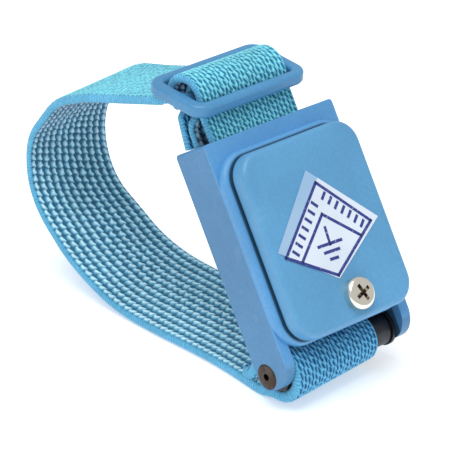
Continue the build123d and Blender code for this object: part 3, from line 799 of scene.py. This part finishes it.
def close_ends(index, faces):
    """Faces across the band's two cut ends."""
    ring = index.shape[1]
    back = 2 * faces + EDGE_POINTS - 1
    caps = []
    for row, flip in ((index[0], False), (index[-1], True)):
        strips = [[row[k], row[back - k], row[back - k - 1], row[k + 1]] for k in range(faces - 1)]
        right = [row[k] for k in range(faces - 1, faces + EDGE_POINTS + 1)]
        left = [row[k % ring] for k in range(back, ring + 1)]
        strips += [right[::-1], left[::-1]]
        caps += [strip[::-1] if flip else strip for strip in strips]
    return [[int(k) for k in cap] for cap in caps]


def waves(rows, u, v):
    return sum(size * np.sin(per_u * u + per_v * v + phase) for size, per_u, per_v, phase in rows)


def drift(u, v):
    """Where a point is in the pattern, which wanders a little, as knitting does, except across the
    band at its edges."""
    middle = np.cos(u / BAND_WIDTH * math.pi)
    return u + waves(DRIFT_ACROSS, u, v) * middle, v + waves(DRIFT_ALONG, u, v)


def heights(edges, grid_v, knit_u, knit_v, across):
    """Each point's height from the band's middle, with the knit on both faces and ribs on the edges."""
    _, level, _, faces = section()
    height = level[None, :] * across(*edges.thick) / 2
    inner = slice(faces + EDGE_POINTS, 2 * faces + EDGE_POINTS)
    depth = edges.depth[:, None]
    height[:, :faces] += relief(knit_u[:, :faces], knit_v[:, :faces], True) * depth
    height[:, inner] -= relief(knit_u[:, inner], knit_v[:, inner], False) * depth
    ribs = 1 - rib_depth(grid_v) * 2 / BAND_T
    for side in (slice(faces, faces + EDGE_POINTS), slice(2 * faces + EDGE_POINTS, None)):
        height[:, side] *= ribs[:, side]
    return height


def knit(name, edges, begin):
    """A closed band mesh between its edge lines, with the knit's relief on both faces. begin is how
    far along the whole band it starts, so that the pattern runs on from piece to piece."""
    u, _, outer, faces = section()
    rows, ring = len(edges.lines[0]), len(u)
    grid_u, grid_v = np.meshgrid(u, begin + np.linspace(0, edges.length, rows))
    share = grid_u / BAND_WIDTH + 0.5

    def across(left, right):
        return left[:, None] * (1 - share) + right[:, None] * share

    knit_u, knit_v = drift(grid_u, grid_v)
    height = heights(edges, grid_v, knit_u, knit_v, across)
    left, right = edges.lines
    left_up, right_up = edges.normals(0), edges.normals(1)
    x = across(left[:, 0], right[:, 0]) + across(left_up[:, 0], right_up[:, 0]) * height
    z = across(left[:, 1], right[:, 1]) + across(left_up[:, 1], right_up[:, 1]) * height
    sway = EDGE_SWAY * np.sin(grid_v / SWAY_WAVE[0] + grid_u * SWAY_SKEW) * np.sin(grid_v / SWAY_WAVE[1])
    y = across(*edges.y) + sway
    points = np.stack([PIN.x + x * MM, y * MM, z * MM], 2).reshape(-1, 3)
    index = np.arange(rows * ring).reshape(rows, ring)
    a, b = index[:-1], index[1:]
    quads = np.stack([a, np.roll(a, -1, 1), np.roll(b, -1, 1), b], 2).reshape(-1, 4).tolist()
    caps = close_ends(index, faces)
    piece = link_mesh(name, points.tolist(), quads + caps)
    mesh = piece.data
    mesh.polygons.foreach_set("use_smooth", [True] * len(quads) + [False] * len(caps))
    # high is the share of the painted light and shade, which grows with height.
    facts = {"across": knit_u.ravel(), "along": knit_v.ravel(), "outer": np.tile(outer, rows),
             "high": edges.light_share * smooth(z, *PAINTED_LIGHT_Z).ravel(), "gape": np.repeat(edges.gape, ring)}
    for fact, values in facts.items():
        mesh.attributes.new(fact, "FLOAT", "POINT").data.foreach_set("value", values.astype(np.float32))
    mesh.update()
    return piece


# Points listed for each piece from one body to the other: x, or x and z. build_band puts them in its plan but does
# not use them.
WRIST_BLEND_X = (-4.0, -46.0)
TOP_BLEND = ((-47.0, 42.0), (-31.0, 46.7))
SLIDER_BLEND_DROP = 1.5            # under the slider's middle


def build_band():
    def in_plane(x, z):
        return to_row(x, BAND_MIDDLE_Y, z)

    fabric = elastic()
    slider = in_plane(SLIDER_AT[0], SLIDER_AT[1] - SLIDER_BLEND_DROP)
    split = in_plane(*leaned(SPLIT_X, FAR_BAR[1]))
    bar = in_plane(*leaned(*FAR_BAR))
    roller, wrist = (in_plane(x, 0) for x in WRIST_BLEND_X)
    top, top_end = (in_plane(*at) for at in TOP_BLEND)
    plan = (
        ("band_wrist_run", wrist_edges(), ("housing", "strap"), roller, wrist,
         ("strap_near_loop", "strap_wrist_run")),
        ("band_top_run", top_edges(), ("strap", "slider"), top, top_end, ("strap_top_run",)),
        ("band_over_slider", plain_edges(front_line()), ("slider", "strap"), slider, split,
         ("strap_slider_hump",)),
        ("band_far_loop", plain_edges(far_line()), ("housing", "strap"), bar, split, ("strap_far_loop",)),
        ("band_end_loop", end_edges(), ("slider", "strap"), slider, split, ("strap_end_loop",)),
    )
    begin = 0.0
    for name, edges, (a, b), start, end, stands_for in plan:
        piece = knit(name, edges, begin)
        begin += edges.length
        piece.data.materials.append(fabric)
        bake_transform(piece)
        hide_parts(*stands_for)


# ---------- the seam's thread ----------

SEAM_X = -8.2
STITCH_COUNT = 8
STITCH_LENGTH = 1.7
STITCH_RINGS = 7         # of points along one stitch
STITCH_SINK = 0.30       # how far a stitch's ends are below the tail's surface
STITCH_RISE = 0.34       # how far its middle is above its ends
THREAD_R = 0.16
THREAD_SIDES = 8


def tail_top(share):
    """The height of the sewn tail's upper face, a share of the way from its left edge to its right."""
    def between(left, right):
        return left * (1 - share) + right * share

    return between(RUN_LINE[0][0], RUN_LINE[1][0]) + BAND_T + TAIL_GAP + between(*WRAP_T) / 2


def stitch(middle):
    """Rings of points along one stitch, which dips into the knit at its ends."""
    width = WRAP_Y[1] - WRAP_Y[0]
    half = STITCH_LENGTH / 2 / width
    rings = []
    for at in np.linspace(-1, 1, STITCH_RINGS):
        share = middle + half * at
        z = tail_top(share) - STITCH_SINK + STITCH_RISE * (1 - at ** 4)
        turns = [2 * math.pi * side / THREAD_SIDES for side in range(THREAD_SIDES)]
        rings.append([to_row(SEAM_X + THREAD_R * math.cos(turn), WRAP_Y[0] + share * width,
                             z + THREAD_R * math.sin(turn)) for turn in turns])
    return rings


def sew_seam():
    """A row of stitches across the tail."""
    verts, faces = [], []
    for k in range(STITCH_COUNT):
        base = len(verts)
        for ring in stitch((k + 0.5) / STITCH_COUNT):
            verts += ring
        last = base + (STITCH_RINGS - 1) * THREAD_SIDES
        for a in range(base, last, THREAD_SIDES):
            b = a + THREAD_SIDES
            for side in range(THREAD_SIDES):
                after = (side + 1) % THREAD_SIDES
                faces.append((a + side, a + after, b + after, b + side))
        faces.append(tuple(range(base + THREAD_SIDES - 1, base - 1, -1)))
        faces.append(tuple(range(last, last + THREAD_SIDES)))
    piece = link_mesh("seam_thread", verts, faces, thread())
    piece.data.polygons.foreach_set("use_smooth", [True] * len(faces))
    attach(piece, "housing")
    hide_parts("near_seam_stitches")


# ---------- the label's print ----------
# Corners and ends of strokes are in the housing's own x and y.

LABEL_TOP = 11.52        # the label's upper face, in the housing's own z
INK_T = 0.03
STROKE = 0.55            # width of a printed line
FRAME = ((-28.4, 0.6), (-18.8, 9.2), (-12.2, -1.7), (-18.3, -11.1))
INNER_CORNER = (-22.95, -0.5)
DIVIDERS = (((-16.7, -8.0), INNER_CORNER), (INNER_CORNER, (-17.1, 6.0)))
BAR_ROWS = (((-25.8, 1.2), (-18.9, 7.2)), ((-25.0, -1.3), (-18.4, -8.8)))
BAR_HALF = 0.55
BARS = 7
EARTH_STEM = ((-20.6, -0.9), (-17.7, -1.1))
EARTH_BARS = (((-17.7, 1.5), (-17.9, -3.7)), ((-16.4, 0.4), (-16.55, -2.8)), ((-15.1, -0.5), (-15.2, -2.0)))


def printed(name, strokes, material):
    """Raised ink along strokes, each from a start to an end, on the label."""
    verts, faces = [], []
    for start, end in strokes:
        a, b = Vector(start), Vector(end)
        along = (b - a).normalized() * (STROKE / 2)
        side = Vector((-along.y, along.x))
        a, b = a - along, b + along
        base = len(verts)
        for z in (LABEL_TOP, LABEL_TOP + INK_T):
            for corner in (a - side, b - side, b + side, a + side):
                x, height = leaned(corner.x, z)
                verts.append(to_row(x, corner.y, height))
        quads = ((3, 2, 1, 0), (4, 5, 6, 7), (0, 1, 5, 4), (1, 2, 6, 5), (2, 3, 7, 6), (3, 0, 4, 7))
        faces += [[base + i for i in quad] for quad in quads]
    piece = link_mesh(name, verts, faces, material)
    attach(piece, "housing")


def bars_between(first, last):
    """Short parallel bars across the line from first to last."""
    first, last = Vector(first), Vector(last)
    across = (last - first).normalized().orthogonal() * BAR_HALF
    middles = [first.lerp(last, k / (BARS - 1)) for k in range(BARS)]
    return [(tuple(m - across), tuple(m + across)) for m in middles]


def print_label():
    """A frame with an earth sign in its inner square and a row of bars in each border strip."""
    blue = ink("print_blue", (0.02, 0.035, 0.22))
    printed("label_frame", [*zip(FRAME, FRAME[1:] + FRAME[:1]), *DIVIDERS], blue)
    printed("label_bars", [bar for row in BAR_ROWS for bar in bars_between(*row)], blue)
    printed("label_earth_sign", [EARTH_STEM, *EARTH_BARS], blue)


add_camera()
add_sky()
add_key_light()
add_floor()
dress_cad()
build_band()
sew_seam()
print_label()
